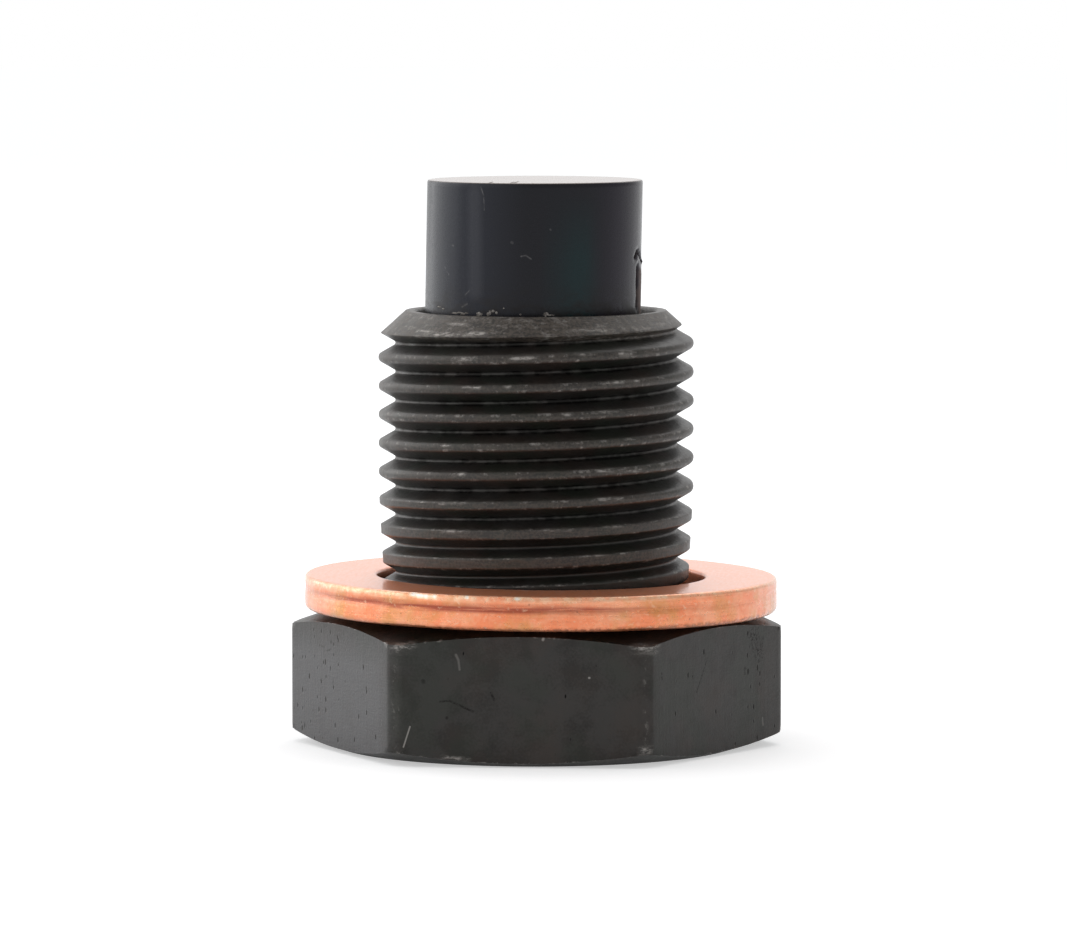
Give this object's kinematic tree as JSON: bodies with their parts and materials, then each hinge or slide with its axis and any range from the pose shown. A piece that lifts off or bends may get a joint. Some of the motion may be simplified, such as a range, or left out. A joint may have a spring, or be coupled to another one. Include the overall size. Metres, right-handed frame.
{
  "type": "oil drain plug",
  "caption": "Threaded steel drain plug with a hexagon head, a rod magnet bonded into its end and a loose copper sealing washer.",
  "frame": {"origin": "on the thread's axis, on the plane that the foot of the hexagon head stands on", "axes": "+Z along the thread's axis, from the head towards the magnet; one pair of the hexagon's flats faces -Y and +Y"},
  "size_m": [0.0214, 0.0206, 0.0247],
  "materials": {
    "black_oxide_steel": "black oxide, dry and lightly worn",
    "copper": "bright annealed copper",
    "magnet_alloy": "smooth dark blue-black",
    "resin": "cured dark resin"
  },
  "bodies": {
    "root": {"plug_body": "black_oxide_steel", "sealing_washer": "copper", "magnet": "magnet_alloy", "magnet_adhesive": "resin"}
  },
  "joints": []
}
